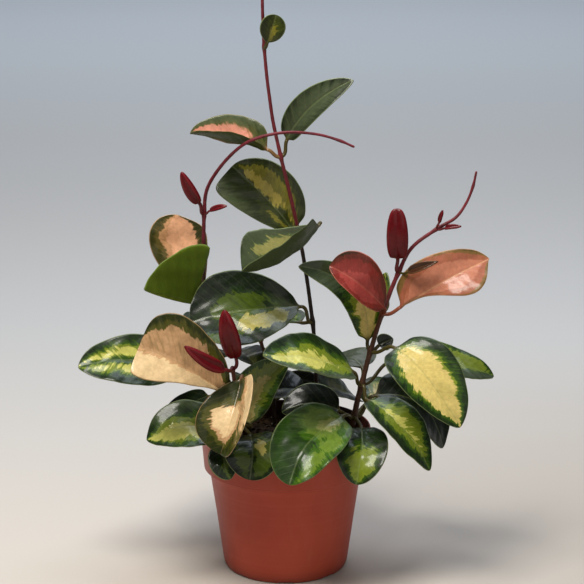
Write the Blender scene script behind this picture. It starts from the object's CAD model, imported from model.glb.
"""Potted wax plant with variegated leaves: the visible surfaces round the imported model.

Every piece is placed in millimetres in the model's own frame and written in metres.
"""

import logging
import math
from collections.abc import Callable
from dataclasses import dataclass
from enum import Enum

import bmesh
import bpy
import numpy as np
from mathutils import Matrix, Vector


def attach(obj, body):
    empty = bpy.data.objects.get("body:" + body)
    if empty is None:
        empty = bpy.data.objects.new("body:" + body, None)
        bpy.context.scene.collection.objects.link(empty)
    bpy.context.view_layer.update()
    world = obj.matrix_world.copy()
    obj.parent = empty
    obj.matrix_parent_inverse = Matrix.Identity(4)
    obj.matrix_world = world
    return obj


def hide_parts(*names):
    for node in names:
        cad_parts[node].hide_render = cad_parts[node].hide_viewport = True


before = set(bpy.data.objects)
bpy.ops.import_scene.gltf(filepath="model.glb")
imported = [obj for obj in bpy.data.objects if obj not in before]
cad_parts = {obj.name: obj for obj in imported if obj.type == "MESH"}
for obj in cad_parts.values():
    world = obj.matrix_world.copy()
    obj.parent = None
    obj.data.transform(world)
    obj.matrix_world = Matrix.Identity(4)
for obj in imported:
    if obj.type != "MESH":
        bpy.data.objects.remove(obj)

# Metres to a millimetre, millimetres to one unit of a UV map, and the one body that all rides on.
MM = 0.001
UV_UNIT = 100.0
BODY = "root"
LOG = logging.getLogger("wax_plant")

Point = tuple[float, float, float]
Pair = tuple[float, float]
Colour = tuple[int, int, int]
Faces = list[tuple[int, ...]]
Socket = bpy.types.NodeSocket
Source = float | tuple[float, ...] | bpy.types.NodeSocket
Level = float | Callable[[float, float], float]


class Outline(Enum):
    """How the width runs along a blade: powers at the base and the tip."""

    OVAL = (0.52, 0.66)
    LONG = (0.55, 0.85)
    ROUND = (0.5, 0.55)
    BUD = (0.45, 0.6)
    WEDGE = (0.85, 0.55)
    SPOON = (0.8, 0.5)
    SQUARE = (0.34, 0.34)
    FAN = (0.6, 0.12)
    BLUNT = (0.7, 0.25)
    CORNER = (1.3, 0.12)
    WIDE = (0.42, 0.55)
    LATE = (3.5, 1.4)
    BOX = (0.25, 0.32)
    SAIL = (0.1, 0.5)


class Zone(Enum):
    """A coloured region of a blade."""

    LIME = 0
    PALE = 1
    GREY = 2


class Side(Enum):
    """The two faces of a blade."""

    UPPER = 0
    UNDER = 1


@dataclass(frozen=True)
class Mark:
    """An oval region on a blade, along it from 0 to 1 and across from -1 at the right edge to 1."""

    zone: Zone
    along: float
    across: float
    length: float
    width: float


@dataclass(frozen=True)
class StemPlan:
    """A stem: radius at both ends, the points that carry leaves, and its line from the soil up."""

    radius: Pair
    joints: tuple[int, ...]
    points: tuple[Point, ...]


@dataclass(frozen=True)
class LeafPlan:
    """A leaf's place and form.

    base, middle and tip are points of its midrib, and face is the way its upper side looks. lift
    folds the left and right halves up from the midrib and curl bends them on, in degrees. halves
    makes one half wider, and right_outline gives the right half an outline of its own. wave is the
    height and the number of its waves. slot is the record's material slot.
    """

    stem: str
    joint: int
    base: Point
    middle: Point
    tip: Point
    face: Point
    width: float
    outline: Outline
    lift: Pair
    curl: Pair
    halves: Pair = (1.0, 1.0)
    wave: Pair = (0.0, 0.0)
    right_outline: Outline | None = None
    slot: str = "leaf_green"


def srgb(colour: Colour) -> tuple[float, float, float, float]:
    """Turns a screen colour into the linear values that a shader takes.

    Args:
        colour: red, green and blue from 0 to 255.

    Returns:
        The linear colour with an alpha of 1.
    """
    parts = [c / 255.0 for c in colour]
    linear = [c / 12.92 if c <= 0.04045 else ((c + 0.055) / 1.055) ** 2.4 for c in parts]
    return (*linear, 1.0)


def unit(rows: np.ndarray) -> np.ndarray:
    """Scales each row vector to a length of 1."""
    return rows / np.maximum(np.linalg.norm(rows, axis=-1, keepdims=True), 1e-9)


def smooth(low: float, high: float, value: np.ndarray) -> np.ndarray:
    """Rises smoothly from 0 at low to 1 at high."""
    x = np.clip((value - low) / (high - low), 0.0, 1.0)
    return x * x * (3.0 - 2.0 * x)


def tube(count: int, around: int) -> Faces:
    """Side faces of a tube of rings.

    Args:
        count: how many rings there are.
        around: points in a ring.

    Returns:
        The faces, ring by ring.
    """
    faces = []
    for row in range(count - 1):
        for k in range(around):
            a, b = row * around + k, row * around + (k + 1) % around
            faces.append((a, b, b + around, a + around))
    return faces


def caps(count: int, around: int) -> Faces:
    """The first and the last face of a tube of count rings with around points each."""
    last = (count - 1) * around
    return [tuple(range(around - 1, -1, -1)), tuple(range(last, last + around))]


def turned(section: list[tuple[float, Level]], sides: int) -> bmesh.types.BMesh:
    """Turns a section about the upright axis.

    Args:
        section: a radius and a height for each ring, where the height is a number or a rule that
            gives it for a place. A radius of 0 is a point on the axis.
        sides: points in a ring.

    Returns:
        The form in millimetres, with its faces turned outwards.
    """
    work = bmesh.new()
    turns = [math.tau * k / sides for k in range(sides)]
    rings = []
    for radius, level in section:
        spots = [(radius * math.cos(a), radius * math.sin(a)) for a in turns] if radius else [(0.0, 0.0)]
        rings.append([work.verts.new((x, y, level(x, y) if callable(level) else level)) for x, y in spots])
    for low, high in zip(rings, rings[1:]):
        for k in range(sides):
            n = (k + 1) % sides
            corners = [low[k % len(low)], low[n % len(low)], high[n % len(high)], high[k % len(high)]]
            work.faces.new(list(dict.fromkeys(corners)))
    bmesh.ops.recalc_face_normals(work, faces=work.faces)
    return work


def linked(name: str, data: bpy.types.ID) -> bpy.types.Object:
    """Makes an object from its data and puts it in the scene.

    Args:
        name: the object's name.
        data: its mesh, camera or light.

    Returns:
        The object.
    """
    made = bpy.data.objects.new(name, data)
    bpy.context.scene.collection.objects.link(made)
    return made


def solid(work: bmesh.types.BMesh, name: str) -> bpy.types.Object:
    """Turns work in millimetres into an object in metres.

    Args:
        work: the form, which is freed.
        name: the object's name.

    Returns:
        The object, linked to the scene.
    """
    bmesh.ops.scale(work, vec=(MM, MM, MM), verts=work.verts)
    mesh = bpy.data.meshes.new(name)
    work.to_mesh(mesh)
    work.free()
    return linked(name, mesh)


@dataclass(frozen=True)
class BezierCurve:
    """A quadratic or cubic Bezier curve through its control points."""

    controls: tuple[np.ndarray, ...]

    def at(self, t: np.ndarray) -> np.ndarray:
        """Points of the curve.

        Args:
            t: places along it, from 0 to 1.

        Returns:
            A row for each place.
        """
        rows = [np.broadcast_to(c, (len(t), 3)) for c in self.controls]
        while len(rows) > 1:
            rows = [a + (b - a) * t[:, None] for a, b in zip(rows, rows[1:])]
        return rows[0]

    def tangent(self, t: np.ndarray) -> np.ndarray:
        """Unit directions of the curve, one row for each t."""
        steps = tuple(b - a for a, b in zip(self.controls, self.controls[1:]))
        return unit(BezierCurve(steps).at(t))


class ThroughCurve:
    """A smooth curve through points, with the centripetal spacing that keeps it free of loops."""

    def __init__(self, points: tuple[Point, ...]) -> None:
        """Takes the points that the curve goes through."""
        self.points = np.array(points, float)
        self.pieces = len(points) - 1

    def at(self, t: float) -> np.ndarray:
        """A point of the curve.

        Args:
            t: its place, from 0 to 1, with the same share for each stretch between two points.

        Returns:
            The point.
        """
        place = min(max(t, 0.0), 1.0) * self.pieces
        i = min(int(place), self.pieces - 1)
        s = place - i
        p = self.points
        b, c = p[i], p[i + 1]
        a = p[i - 1] if i > 0 else 2 * p[0] - p[1]
        d = p[i + 2] if i + 2 <= self.pieces else 2 * p[-1] - p[-2]
        ab, bc, cd = (max(np.linalg.norm(v - u) ** 0.5, 1e-4) for u, v in ((a, b), (b, c), (c, d)))
        start = ((b - a) / ab - (c - a) / (ab + bc) + (c - b) / bc) * bc
        end = ((c - b) / bc - (d - b) / (bc + cd) + (d - c) / cd) * bc
        cubic = 2 * b - 2 * c + start + end
        square = -3 * b + 3 * c - 2 * start - end
        return b + s * (start + s * (square + s * cubic))

    def tangent(self, t: float) -> np.ndarray:
        """The curve's unit direction at t."""
        low, high = max(t - 1e-4, 0.0), min(t + 1e-4, 1.0)
        return unit(self.at(high) - self.at(low))


@dataclass
class Skin:
    """A mesh on its way to Blender, in millimetres.

    points has a row for each corner point and faces the point numbers of each face. maps holds UV
    maps and marks holds vector attributes, each with a row for each point. slots has a material
    number for each face.
    """

    name: str
    points: np.ndarray
    faces: Faces
    maps: dict[str, np.ndarray]
    marks: dict[str, np.ndarray]
    slots: list[int]

    def build(self, materials: list[bpy.types.Material]) -> bpy.types.Object:
        """Makes the Blender object.

        Args:
            materials: one for each number in slots.

        Returns:
            The object, linked to the scene.
        """
        mesh = bpy.data.meshes.new(self.name)
        mesh.from_pydata(self.points * MM, [], self.faces)
        for material in materials:
            mesh.materials.append(material)
        mesh.polygons.foreach_set("material_index", self.slots)
        mesh.polygons.foreach_set("use_smooth", np.ones(len(mesh.polygons), bool))
        corners = np.empty(len(mesh.loops), np.int32)
        mesh.loops.foreach_get("vertex_index", corners)
        for title, values in self.maps.items():
            layer = mesh.uv_layers.new(name=title, do_init=False)
            layer.uv.foreach_set("vector", values[corners].astype(np.float32).ravel())
        for title, values in self.marks.items():
            layer = mesh.attributes.new(title, "FLOAT_VECTOR", "POINT")
            layer.data.foreach_set("vector", values.astype(np.float32).ravel())
        mesh.validate(clean_customdata=False)
        return linked(self.name, mesh)


class Graph:
    """A short way to write a material's nodes, whose values are numbers, colours or sockets.

    MIX_FIRST, MIX_SECOND and MIX_RESULT are the places of the mix node's colour sockets.
    """

    MIX_FIRST = 6
    MIX_SECOND = 7
    MIX_RESULT = 2

    def __init__(self, name: str) -> None:
        """Makes an empty material with an output and a principled shader.

        Args:
            name: the material's name.
        """
        self.material = bpy.data.materials.new(name)
        self.material.use_nodes = True
        self.tree = self.material.node_tree
        self.tree.nodes.clear()
        self.shader = self.node("BsdfPrincipled")
        self.join(self.shader.outputs[0], self.node("OutputMaterial").inputs["Surface"])

    def node(self, kind: str) -> bpy.types.Node:
        """Makes a shader node of the given kind."""
        return self.tree.nodes.new(f"ShaderNode{kind}")

    def join(self, source: Source, target: Socket) -> None:
        """Links a socket to a target, or sets the target's own value.

        Args:
            source: a socket, or the value.
            target: the socket that takes it.
        """
        if isinstance(source, bpy.types.NodeSocket):
            self.tree.links.new(source, target)
        else:
            target.default_value = source

    def fill(self, node: bpy.types.Node, *values: Source) -> Socket:
        """Gives a node its values.

        Args:
            node: the node.
            *values: one for each of its first sockets, in their order.

        Returns:
            The node's first output.
        """
        for value, socket in zip(values, node.inputs):
            self.join(value, socket)
        return node.outputs[0]

    def uv(self, name: str) -> list[Socket]:
        """The parts of the named UV map.

        Args:
            name: the map's name.

        Returns:
            Its two parts, and a third that is 0.
        """
        node = self.node("UVMap")
        node.uv_map = name
        return self.split(node.outputs[0])

    def mark(self, name: str) -> list[Socket]:
        """The parts of a vector attribute of the mesh.

        Args:
            name: the attribute's name.

        Returns:
            Its three parts.
        """
        node = self.node("Attribute")
        node.attribute_name = name
        return self.split(node.outputs["Vector"])

    def split(self, vector: Socket) -> list[Socket]:
        """Takes a vector apart.

        Args:
            vector: the vector.

        Returns:
            Its three parts.
        """
        node = self.node("SeparateXYZ")
        self.join(vector, node.inputs[0])
        return list(node.outputs)

    def vector(self, x: Source, y: Source, z: Source) -> Socket:
        """A vector from three parts."""
        return self.fill(self.node("CombineXYZ"), x, y, z)

    def stretch(self, parts: tuple[Socket, ...], scales: tuple[float, ...], *rest: Source) -> Socket:
        """A vector from parts times their scales, and then the rest as they are."""
        return self.vector(*(self.math("MULTIPLY", part, scale) for part, scale in zip(parts, scales)), *rest)

    def place(self) -> Socket:
        """The point's own place on the object, in metres."""
        return self.node("TexCoord").outputs["Object"]

    def math(self, kind: str, *values: Source) -> Socket:
        """Works out a sum.

        Args:
            kind: Blender's name for the sum.
            *values: its one to three values.

        Returns:
            The result.
        """
        node = self.node("Math")
        node.operation = kind
        return self.fill(node, *values)

    def noise(self, vector: Socket, scale: float, detail: float = 2.0, rough: float = 0.5) -> Socket:
        """Cloudy noise from 0 to 1, mostly near 0.5.

        Args:
            vector: the place.
            scale: how many clouds there are to a unit of it.
            detail: how many finer layers there are.
            rough: how strong each finer layer is.

        Returns:
            The noise.
        """
        node = self.node("TexNoise")
        self.join(vector, node.inputs["Vector"])
        node.inputs["Scale"].default_value = scale
        node.inputs["Detail"].default_value = detail
        node.inputs["Roughness"].default_value = rough
        return node.outputs[0]

    def ramp(self, value: Source, low: float, high: float, start: float = 0.0, end: float = 1.0) -> Socket:
        """Goes smoothly from one number to another.

        Args:
            value: what it depends on.
            low: the value up to which it is start.
            high: the value from which it is end.
            start: the first number.
            end: the last number.

        Returns:
            The number for the value.
        """
        node = self.node("MapRange")
        node.interpolation_type = "SMOOTHSTEP"
        return self.fill(node, value, low, high, start, end)

    def mix(self, amount: Source, first: Source, second: Source, kind: str = "MIX") -> Socket:
        """Mixes two colours.

        Args:
            amount: how much of the second there is, from 0 to 1.
            first: the colour at 0.
            second: the colour at 1.
            kind: Blender's name for the way of mixing.

        Returns:
            The mixed colour.
        """
        node = self.node("Mix")
        node.data_type = "RGBA"
        node.blend_type = kind
        self.join(amount, node.inputs[0])
        self.join(first, node.inputs[self.MIX_FIRST])
        self.join(second, node.inputs[self.MIX_SECOND])
        return node.outputs[self.MIX_RESULT]

    def bump(self, height: Source, strength: float, distance: float, under: Socket | None = None) -> Socket:
        """A bumpy normal.

        Args:
            height: the height, from 0 to 1.
            strength: how strong the bumps are.
            distance: what a height of 1 stands for, in metres.
            under: a bumpy normal that these bumps lie on.

        Returns:
            The normal.
        """
        node = self.node("Bump")
        node.inputs["Strength"].default_value = strength
        node.inputs["Distance"].default_value = distance
        self.join(height, node.inputs["Height"])
        if under is not None:
            self.join(under, node.inputs["Normal"])
        return node.outputs[0]

    def finish(self, colour: Source, roughness: Source, normal: Socket, **fixed: float) -> bpy.types.Material:
        """Fills the shader.

        Args:
            colour: the surface's colour.
            roughness: the surface's roughness.
            normal: a bumpy normal.
            **fixed: other sockets of the shader, with _ for a blank, each one number.

        Returns:
            The finished material.
        """
        self.join(colour, self.shader.inputs["Base Color"])
        self.join(roughness, self.shader.inputs["Roughness"])
        self.join(normal, self.shader.inputs["Normal"])
        for title, value in fixed.items():
            self.shader.inputs[title.replace("_", " ")].default_value = value
        return self.material


@dataclass(frozen=True)
class LeafNoise:
    """Scales of the noises on a blade, to each 100 mm.

    streak and fleck run along the side veins: their first scale is across the veins and their
    second along them.
    """

    streak: Pair = (36.0, 7.0)
    fleck: Pair = (90.0, 30.0)
    blotch: float = 9.0
    body: float = 16.0
    wash: float = 7.0
    swell: float = 30.0
    cloud: float = 38.0
    gloss: float = 60.0
    grain: float = 260.0


class BladeGraph(Graph):
    """The nodes of a leaf's material, with the maps of its blade.

    lime, pale and grey are depths inside those regions and edge is the way to the margin, in
    millimetres. stalk is 1 on the stalk. wide and long are places on the flattened blade, and root
    is the place on the midrib where the side vein starts. streak and blotch go from -1 to 1.
    """

    def __init__(self, name: str, scales: LeafNoise) -> None:
        """Reads the mesh's maps and lays the noises that the regions' edges follow.

        Args:
            name: the material's name.
            scales: the noises' scales.
        """
        super().__init__(name)
        self.lime, self.pale, self.grey = self.mark("zones")
        self.edge, self.stalk, seed = self.mark("skin")
        self.root, out, _ = self.uv("vein_uv")
        self.wide, self.long, _ = self.uv("leaf_uv")
        self.flat = self.vector(self.wide, self.long, seed)
        veins = (self.root, out)
        self.streak = self.even(self.noise(self.stretch(veins, scales.streak, seed), 1.0, 3.0, 0.62))
        self.blotch = self.even(self.noise(self.flat, scales.blotch, 3.0))
        self.fleck = self.noise(self.stretch(veins, scales.fleck, seed), 1.0, 2.0)

    def even(self, noise: Socket) -> Socket:
        """Moves noise from 0 to 1 to the numbers from -1 to 1."""
        return self.math("MULTIPLY_ADD", noise, 2.0, -1.0)


@dataclass(frozen=True)
class LeafFinish:
    """The tones of one kind of leaf, from its margin to the middle of its variegation.

    rag is how far the edges of the regions stray, in millimetres, under_share how much of the under
    tone there is on the underside, and vein how clear the midrib is. HALO is how far the body's
    green reaches out of the lime region and the EDGE values are half the widths over which one
    tone turns into the next, in millimetres. VEIN_SPACING is the turn of the side veins' wave to a
    millimetre, and MIDRIB is where the midrib's line begins and ends to fade, in UV units.
    """

    margin: Colour
    body: Colour
    lime: Colour
    pale: Colour
    under: Colour
    rim: Colour = (120, 132, 84)
    stalk: Colour = (72, 64, 30)
    dust: Colour = (92, 102, 72)
    rag: float = 5.5
    under_share: float = 0.55
    roughness: float = 0.34
    vein: float = 0.24
    scales: LeafNoise = LeafNoise()

    HALO = 3.5
    HALO_EDGE = 1.2
    LIME_EDGE = 0.7
    PALE_EDGE = 0.5
    VEIN_SPACING = 1.05
    MIDRIB = (0.003, 0.0085)
    UNDER_ROUGHER = 0.14
    SPECULAR = 0.14

    def variegation(self, g: BladeGraph) -> Socket:
        """The blade's colour: margin, green halo, lime and then the pale middle.

        Args:
            g: the leaf's nodes.

        Returns:
            The colour.
        """
        margin, body, lime, pale = (srgb(c) for c in (self.margin, self.body, self.lime, self.pale))
        rag = g.math("MULTIPLY_ADD", g.streak, self.rag * 1.15, g.math("MULTIPLY", g.blotch, self.rag * 1.3))
        tone = g.mix(g.ramp(g.noise(g.flat, self.scales.body, 3.0), 0.35, 0.65), margin, body)
        depth = g.math("ADD", g.math("ADD", g.lime, self.HALO), rag)
        halo = g.math("MULTIPLY", g.ramp(depth, -self.HALO_EDGE, self.HALO_EDGE), 0.9)
        tone = g.mix(halo, g.mix(0.25, margin, tone), body)
        lime_tone = g.mix(g.ramp(g.streak, -0.1, 0.5, 0.0, 0.7), lime, g.mix(0.6, lime, body))
        tone = g.mix(g.ramp(g.math("ADD", g.lime, rag), -self.LIME_EDGE, self.LIME_EDGE), tone, lime_tone)
        wash = g.ramp(g.noise(g.flat, self.scales.wash, 3.0), 0.46, 0.62, 0.0, 0.26)
        pale_tone = g.mix(wash, pale, g.mix(0.6, pale, lime))
        pale_tone = g.mix(g.ramp(g.fleck, 0.5, 0.7, 0.0, 0.14), pale_tone, lime)
        return g.mix(g.ramp(g.math("ADD", g.pale, rag), -self.PALE_EDGE, self.PALE_EDGE), tone, pale_tone)

    def veined(self, g: BladeGraph, tone: Socket, veins: Socket) -> Socket:
        """Lays dust, side veins, midrib, rim and cloudiness over the colour.

        Args:
            g: the leaf's nodes.
            tone: the colour so far.
            veins: 1 on a side vein.

        Returns:
            The colour.
        """
        grey = g.math("ADD", g.grey, g.math("MULTIPLY", g.streak, 8.0))
        tone = g.mix(g.math("MULTIPLY", g.ramp(grey, -5.0, 6.0), 0.42), tone, srgb(self.dust))
        tone = g.mix(g.math("MULTIPLY", veins, 0.05), tone, srgb(self.rim))
        middle = g.ramp(g.math("ABSOLUTE", g.wide), *self.MIDRIB, 1.0, 0.0)
        tone = g.mix(g.math("MULTIPLY", middle, self.vein), tone, srgb(self.rim))
        tone = g.mix(g.ramp(g.edge, 0.25, 0.7, 0.75, 0.0), tone, srgb(self.rim))
        cloud = g.ramp(g.noise(g.flat, self.scales.cloud, 3.0), 0.3, 0.7, 0.9, 1.08)
        return g.mix(1.0, tone, g.vector(cloud, cloud, cloud), "MULTIPLY")

    def material(self, name: str, side: Side) -> bpy.types.Material:
        """Makes the material of one side of the blade.

        Args:
            name: the material's name.
            side: which face of the blade it is for.

        Returns:
            The material.
        """
        g = BladeGraph(f"{name}_{side.name.lower()}", self.scales)
        sway = g.math("MULTIPLY", g.blotch, 1.6)
        wave = g.math("SINE", g.math("MULTIPLY_ADD", g.root, UV_UNIT * self.VEIN_SPACING, sway))
        veins = g.ramp(wave, 0.86, 1.0)
        tone = self.veined(g, self.variegation(g), veins)
        gloss = g.noise(g.flat, self.scales.gloss, 3.0)
        roughness = g.ramp(gloss, 0.3, 0.7, self.roughness - 0.06, self.roughness + 0.1)
        grain = g.noise(g.vector(g.wide, g.long, 0.0), self.scales.grain, 2.0)
        height = g.math("ADD", g.math("MULTIPLY", veins, -0.5), g.noise(g.flat, self.scales.swell, 2.0))
        normal = g.bump(grain, 0.1, 0.0002, g.bump(height, 0.25, 0.0004))
        coat = {"Coat_Weight": 0.25, "Coat_Roughness": 0.13}
        if side is Side.UNDER:
            tone = g.mix(self.under_share, tone, srgb(self.under))
            roughness = g.math("ADD", roughness, self.UNDER_ROUGHER)
            coat = {}
        tone = g.mix(g.stalk, tone, srgb(self.stalk))
        return g.finish(tone, roughness, normal, Specular_IOR_Level=self.SPECULAR, **coat)


class Tone(Enum):
    """The kinds of leaf on the plant."""

    GREEN = LeafFinish((16, 30, 8), (44, 70, 8), (108, 122, 28), (184, 180, 90), (72, 90, 36))
    FRESH = LeafFinish((26, 48, 10), (56, 90, 12), (96, 120, 34), (146, 150, 80), (72, 90, 36))
    CREAM = LeafFinish((14, 30, 8), (48, 76, 10), (116, 130, 34), (206, 184, 108), (120, 126, 66))
    DARK = LeafFinish((10, 20, 6), (22, 38, 8), (60, 76, 10), (158, 148, 76), (60, 74, 42))
    SHADE = LeafFinish((6, 12, 4), (12, 22, 5), (28, 40, 8), (64, 66, 28), (26, 34, 16))
    OLIVE = LeafFinish((34, 42, 14), (52, 60, 18), (118, 112, 36), (166, 150, 66), (72, 76, 34), rag=3.8)
    BRIGHT = LeafFinish(
        (66, 86, 18), (92, 114, 24), (132, 140, 44), (150, 150, 66), (98, 116, 28), under_share=0.45
    )
    BROWN = LeafFinish(
        (60, 34, 20), (74, 46, 26), (92, 60, 36), (110, 76, 48), (74, 48, 30), rim=(100, 70, 42)
    )
    ROSE = LeafFinish(
        (44, 54, 20), (72, 72, 28), (166, 112, 76), (206, 134, 112), (64, 74, 28),
        rim=(120, 112, 66), stalk=(120, 90, 54), rag=3.4,
    )
    BLUSH = LeafFinish(
        (50, 54, 20), (96, 84, 40), (198, 148, 104), (228, 170, 130), (88, 86, 44),
        rim=(200, 160, 120), stalk=(120, 76, 48), rag=3.4,
    )
    PINK = LeafFinish(
        (72, 66, 28), (120, 90, 44), (152, 88, 64), (176, 112, 86), (104, 90, 44),
        rim=(196, 146, 108), stalk=(134, 72, 50), rag=2.6, vein=0.6,
    )
    RED = LeafFinish(
        (40, 30, 14), (96, 38, 26), (122, 42, 35), (148, 60, 54), (104, 56, 40),
        rim=(180, 104, 84), stalk=(104, 50, 38), rag=2.2, vein=0.3,
    )
    PEACH = LeafFinish(
        (34, 42, 10), (76, 76, 24), (190, 150, 108), (216, 188, 142), (136, 118, 70),
        rim=(168, 136, 96), stalk=(104, 72, 44), rag=4.0,
    )
    CRIMSON = LeafFinish(
        (82, 5, 12), (98, 7, 16), (106, 9, 18), (120, 18, 28), (92, 7, 16),
        rim=(108, 20, 26), stalk=(96, 34, 36), rag=4.0, under_share=0.7, roughness=0.36,
    )


@dataclass(frozen=True)
class LeafLook:
    """A leaf's tones, its variegation and its thickness when it is still a closed young pair."""

    tone: Tone
    marks: tuple[Mark, ...] = ()
    plump: float = 0.0


@dataclass
class Stem:
    """A woody stem with swollen joints, in millimetres.

    Each of the ridges has a height as a share of the radius, a number round the stem and a turn to
    the millimetre. bands has the height and the closeness of the rings. tip_rings are the heights
    of the rounded tip's rings as shares of its radius.
    """

    name: str
    plan: StemPlan
    sides: int = 20
    step: float = 1.6
    swell: float = 1.35
    swell_length: float = 3.0
    taper: float = 0.6
    ridges: tuple[Point, ...] = ((0.05, 3, 0.11), (0.035, 5, -0.23))
    bands: Pair = (0.03, 0.9)
    tip_rings: tuple[float, ...] = (0.45, 0.8, 0.97)

    def __post_init__(self) -> None:
        """Lays the curve through the plan's points."""
        self.curve = ThroughCurve(self.plan.points)

    def share(self, joint: int) -> float:
        """Where a joint is along the curve, from 0 to 1."""
        return joint / self.curve.pieces

    def radius_at(self, t: float) -> float:
        """The stem's radius, which is larger at the joints.

        Args:
            t: the place along the stem, from 0 to 1.

        Returns:
            The radius.
        """
        first, last = self.plan.radius
        here = self.curve.at(t)
        near = min(float(np.linalg.norm(here - self.curve.points[j])) for j in self.plan.joints)
        swell = math.exp(-((near / self.swell_length) ** 2))
        return (first + (last - first) * t**self.taper) * (1.0 + (self.swell - 1.0) * swell)

    def steps(self) -> list[float]:
        """Steps along the curve.

        Returns:
            Their places from 0 to 1, even between each two of the plan's points.
        """
        found = []
        for i in range(self.curve.pieces):
            length = float(np.linalg.norm(self.curve.points[i + 1] - self.curve.points[i]))
            count = max(2, round(length / self.step))
            found += [(i + k / count) / self.curve.pieces for k in range(count)]
        return [*found, 1.0]

    def bark(self, turn: np.ndarray, climbed: float, phases: np.ndarray) -> np.ndarray:
        """How far ridges and bands stand out round one ring.

        Args:
            turn: the angle of each point of the ring.
            climbed: the length of stem up to the ring.
            phases: where each of the waves starts.

        Returns:
            Shares of the radius, one for each point.
        """
        relief = sum(
            height * np.sin(count * turn + phase + climbed * lean)
            for (height, count, lean), phase in zip(self.ridges, phases)
        )
        height, closeness = self.bands
        return relief + height * math.sin(climbed * closeness + phases[len(self.ridges)])

    def skin(self) -> Skin:
        """The stem's closed skin.

        Returns:
            The rings from the soil to the rounded tip, with a cap at each end.
        """
        phases = np.random.default_rng(sum(map(ord, self.name))).uniform(0.0, math.tau, 6)
        turn = np.linspace(0.0, math.tau, self.sides, endpoint=False)
        side = np.array([1.0, 0.0, 0.0])
        rings, maps, climbed = [], [], 0.0
        before = self.curve.at(0.0)
        for t in self.steps():
            middle, along = self.curve.at(t), self.curve.tangent(t)
            climbed += float(np.linalg.norm(middle - before))
            before = middle
            side = unit(side - along * float(side @ along))
            up = np.cross(along, side)
            radius = (self.radius_at(t) * (1.0 + self.bark(turn, climbed, phases)))[:, None]
            rings.append(middle + np.cos(turn)[:, None] * radius * side + np.sin(turn)[:, None] * radius * up)
            maps.append(np.stack([turn / math.tau, np.full(self.sides, climbed / UV_UNIT)], 1))
        last, widest, along = self.curve.at(1.0), rings[-1], self.curve.tangent(1.0)
        for k in self.tip_rings:
            rings.append(last + (widest - last) * math.sqrt(1.0 - k * k) + along * self.radius_at(1.0) * k)
            maps.append(maps[-1])
        faces = tube(len(rings), self.sides) + caps(len(rings), self.sides)
        uv = {"stem_uv": np.concatenate(maps)}
        return Skin(f"stem_{self.name}_bark", np.concatenate(rings), faces, uv, {}, [0] * len(faces))

    def build(self, material: bpy.types.Material) -> bpy.types.Object:
        """Makes the stem's piece.

        Args:
            material: the bark.

        Returns:
            The stem's object, which rides on the body and stands for the plain stem.
        """
        piece = self.skin().build([material])
        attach(piece, BODY)
        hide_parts(f"stem_{self.name}")
        return piece


@dataclass(frozen=True)
class BarkFinish:
    """Bark that goes from one tone low down to another further up, with paler flecks."""

    low: Colour
    high: Colour
    low_z: float
    high_z: float
    fleck: Colour = (150, 104, 84)
    crack: Colour = (22, 12, 10)
    fibres: Pair = (14.0, 22.0)

    def material(self, name: str) -> bpy.types.Material:
        """Makes the bark's material.

        Args:
            name: the material's name.

        Returns:
            The material.
        """
        g = Graph(name)
        place = g.place()
        _, _, z = g.split(place)
        cloud = g.noise(place, 70.0, 3.0)
        height = g.math("MULTIPLY_ADD", cloud, 0.05, g.math("ADD", z, -0.025))
        tone = g.mix(g.ramp(height, self.low_z * MM, self.high_z * MM), srgb(self.low), srgb(self.high))
        around, along, _ = g.uv("stem_uv")
        grain = g.noise(g.stretch((around, along), self.fibres, 0.0), 1.0, 4.0)
        tone = g.mix(g.ramp(grain, 0.58, 0.7, 0.0, 0.35), tone, srgb(self.fleck))
        tone = g.mix(g.ramp(g.noise(place, 240.0, 3.0), 0.3, 0.7, 0.35, 0.0), tone, srgb(self.crack))
        normal = g.bump(grain, 0.5, 0.0004)
        return g.finish(tone, g.ramp(cloud, 0.3, 0.7, 0.42, 0.58), normal, Specular_IOR_Level=0.3)


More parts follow.
